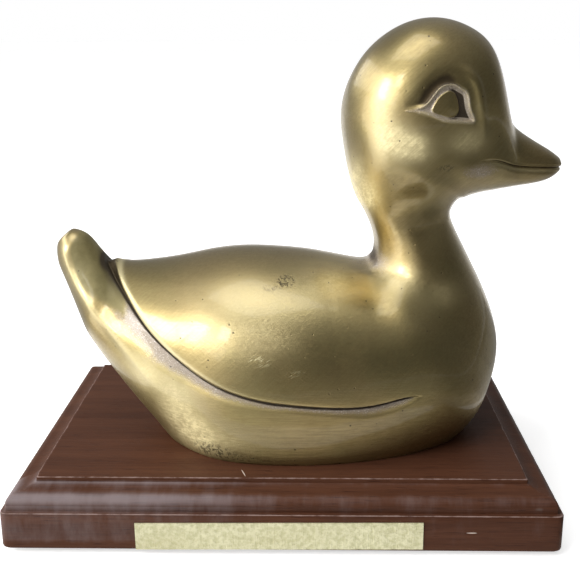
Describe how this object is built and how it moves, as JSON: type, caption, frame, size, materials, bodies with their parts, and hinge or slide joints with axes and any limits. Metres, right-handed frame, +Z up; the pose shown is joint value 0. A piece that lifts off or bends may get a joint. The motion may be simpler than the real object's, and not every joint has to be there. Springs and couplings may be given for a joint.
{
  "type": "desk ornament",
  "caption": "Hollow cast brass duck sitting on a moulded hardwood plinth with a bare nameplate and a felt base, held by screws from below.",
  "frame": {"origin": "centre of the felt's underside, where the plinth stands", "axes": "+Z up, +X the way the duck looks, -Y the side with the nameplate"},
  "size_m": [0.1321, 0.0894, 0.1177],
  "materials": {
    "brass": "satin, aged",
    "wood": "varnished dark mahogany stain",
    "plate": "pale hammered foil",
    "felt": "matt felt",
    "steel": "zinc plated"
  },
  "bodies": {
    "root": {"duck_casting": "brass", "plinth": "wood", "nameplate": "plate", "felt_base": "felt", "rear_screw": "steel", "front_screw": "steel", "rear_washer": "steel", "front_washer": "steel"}
  },
  "joints": []
}
